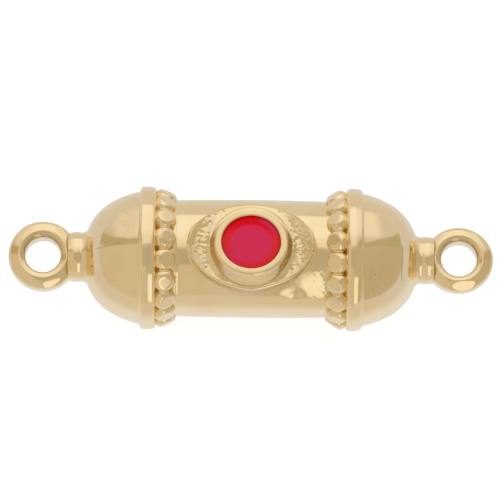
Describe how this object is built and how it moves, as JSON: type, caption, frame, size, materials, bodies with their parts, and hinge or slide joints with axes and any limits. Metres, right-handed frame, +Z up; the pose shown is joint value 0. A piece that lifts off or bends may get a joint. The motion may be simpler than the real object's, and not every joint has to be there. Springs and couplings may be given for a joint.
{
  "type": "two-loop connector link shaped as a tube bead",
  "caption": "Cast connector link in the shape of a small tube with domed, beaded ends, a loop at each end and an oval bezel with a red inlay on an eye-shaped plate.",
  "frame": {"origin": "on the surface the link lies on, under the middle of its tube", "axes": "+X along the tube from one loop to the other, +Z up out of the bezel"},
  "size_m": [0.034, 0.01, 0.0099],
  "materials": {
    "gold_plate": "polished pale gold plating with a pitted plate round the bezel",
    "red_resin": "glossy translucent red"
  },
  "bodies": {
    "root": {"link_casting": "gold_plate", "red_inlay": "red_resin"}
  },
  "joints": []
}
